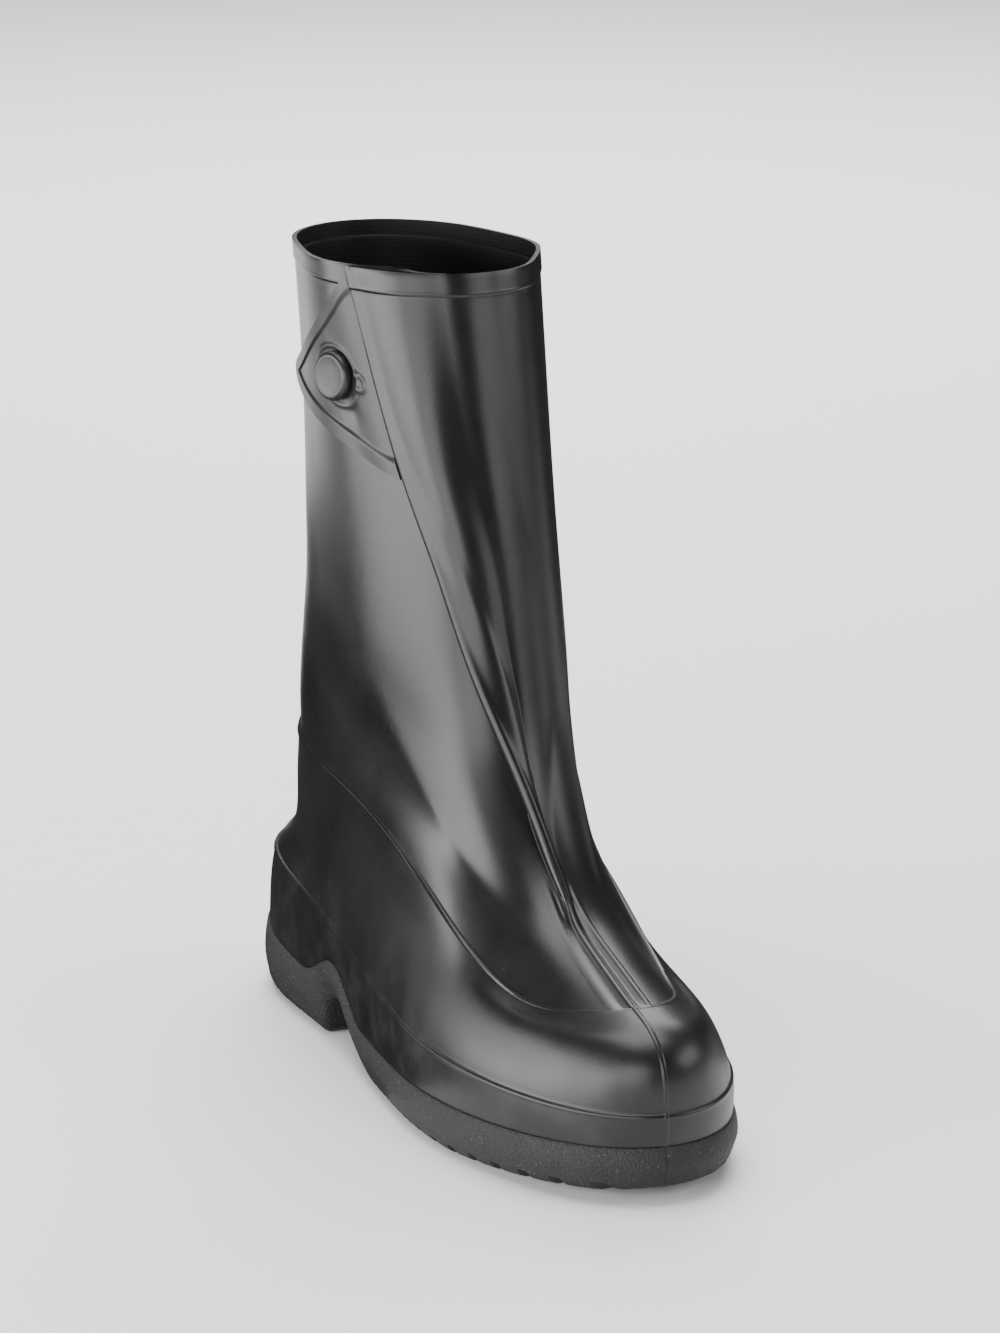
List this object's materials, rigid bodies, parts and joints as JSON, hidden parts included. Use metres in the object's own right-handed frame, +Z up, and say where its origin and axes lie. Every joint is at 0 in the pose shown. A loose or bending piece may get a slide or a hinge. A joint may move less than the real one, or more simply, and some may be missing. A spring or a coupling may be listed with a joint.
{
  "type": "rubber overshoe",
  "caption": "Tall moulded rubber overshoe for the right foot, with a buttoned front pleat folded over to the outer side and a lugged outsole.",
  "frame": {"origin": "on the floor, under the middle of the shoe's box", "axes": "+Z up, toe towards -Y, heel towards +Y, inner side of the foot towards +X, outer side towards -X"},
  "size_m": [0.1095, 0.325, 0.3142],
  "materials": {
    "upper_rubber": "satin",
    "outsole_rubber": "matt, stippled side",
    "tab_rubber": "satin",
    "button_rubber": "satin"
  },
  "bodies": {
    "root": {"upper": "upper_rubber", "outsole": "outsole_rubber", "closure_tab": "tab_rubber", "button": "button_rubber"}
  },
  "joints": []
}
